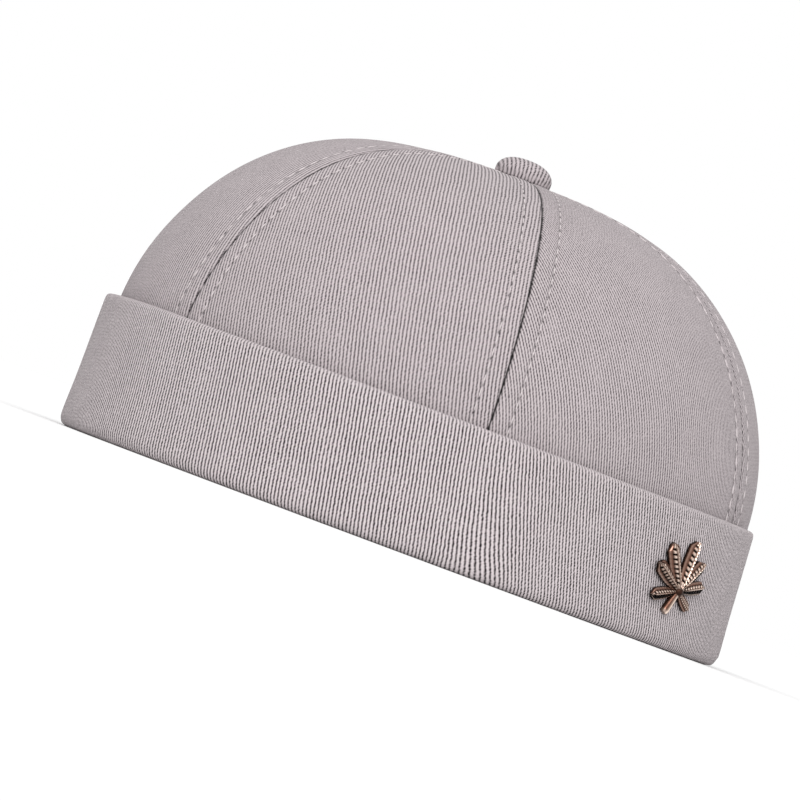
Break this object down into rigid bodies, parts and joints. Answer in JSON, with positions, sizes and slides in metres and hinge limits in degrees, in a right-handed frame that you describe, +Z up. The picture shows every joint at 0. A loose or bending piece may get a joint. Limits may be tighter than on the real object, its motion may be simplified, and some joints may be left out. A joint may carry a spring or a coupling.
{
  "type": "brimless rolled-cuff cap with an adjustable back strap",
  "caption": "Soft panelled crown with a rolled cuff, cloth button, back opening with a webbing strap and metal slide, and a leaf pin on the cuff.",
  "frame": {"origin": "middle of the cap's outer box, on the surface that the rolled rim rests on", "axes": "+Z up towards the button, -Y towards the wearer's front, +X towards the wearer's left, where the pin is"},
  "size_m": [0.1919, 0.1971, 0.116],
  "materials": {
    "twill": "matte cotton twill in warm light grey",
    "button_cloth": "matte coarse twill",
    "band_cloth": "matte black cloth",
    "lining_cloth": "plain black lining",
    "webbing": "charcoal twill webbing",
    "nickel": "polished nickel",
    "rose_metal": "polished rose-coloured casting with dark recesses"
  },
  "bodies": {
    "root": {"panel_front_left": "twill", "panel_side_left": "twill", "panel_back_left": "twill", "panel_back_right": "twill", "panel_side_right": "twill", "panel_front_right": "twill", "cuff": "twill", "sweatband": "band_cloth", "lining": "lining_cloth", "strap": "webbing", "buckle_loop": "webbing", "buckle": "nickel", "rivet": "nickel", "button": "button_cloth", "leaf_pin": "rose_metal"}
  },
  "joints": []
}
